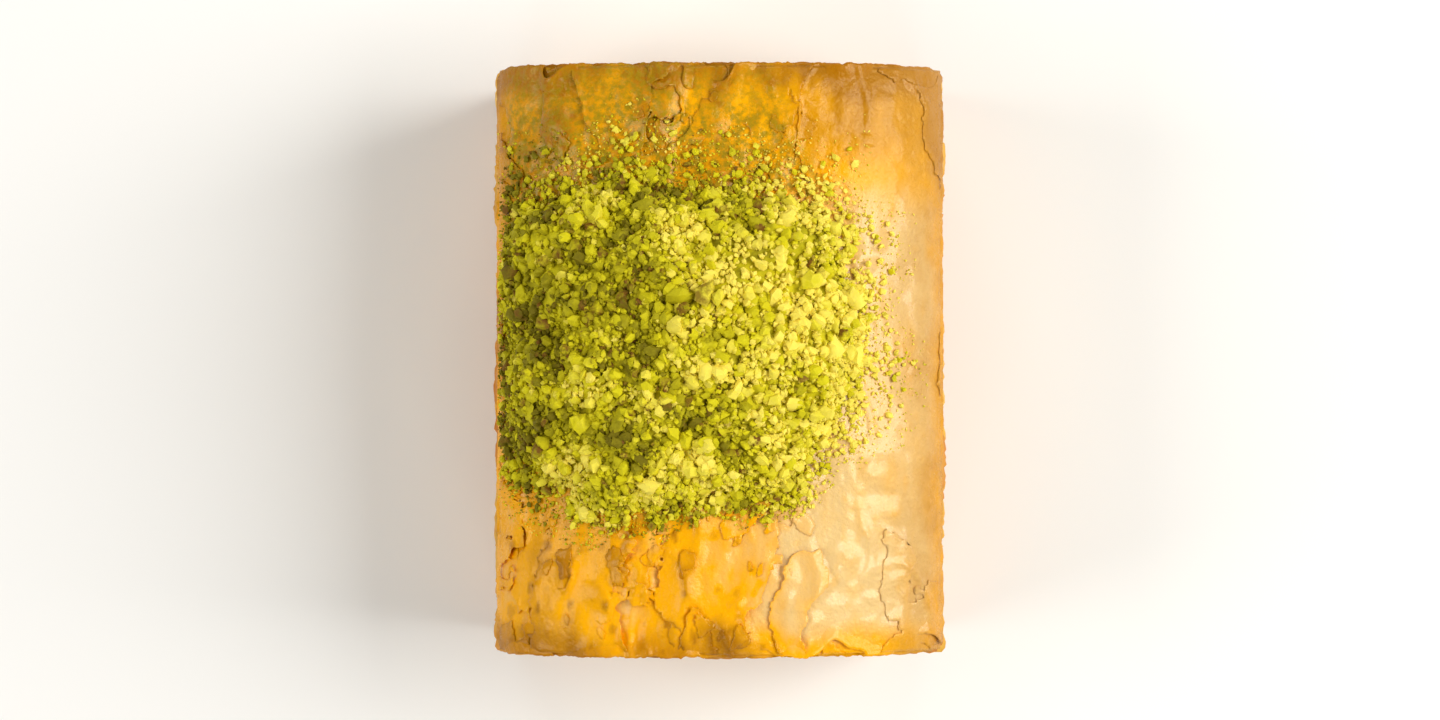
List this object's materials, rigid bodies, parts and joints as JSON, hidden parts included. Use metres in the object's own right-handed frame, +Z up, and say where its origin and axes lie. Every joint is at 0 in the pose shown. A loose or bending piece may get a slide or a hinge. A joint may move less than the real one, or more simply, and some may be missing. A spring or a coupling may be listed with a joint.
{
  "type": "baklava piece",
  "caption": "Rectangular piece of pistachio baklava with leafed, cut sides, a domed golden crust, a pistachio layer inside and a heap of ground pistachio on top.",
  "frame": {"origin": "middle of the flat underside", "axes": "+X across the piece, square to its two long cuts; +Y along the piece; +Z up"},
  "size_m": [0.0344, 0.045, 0.0315],
  "materials": {
    "soaked_pastry": "soaked leaves of pastry, amber, wet with syrup",
    "pistachio_filling": "chopped pistachio, pressed and damp",
    "baked_pastry": "baked leaves of pastry, golden orange on the crown and cream on the flanks, glossy with syrup",
    "pistachio_topping": "ground pistachio, yellow-green, dry and matt"
  },
  "bodies": {
    "root": {"soaked_leaves": "soaked_pastry", "pistachio_layer": "pistachio_filling", "baked_leaves": "baked_pastry", "pistachio_heap": "pistachio_topping"}
  },
  "joints": []
}
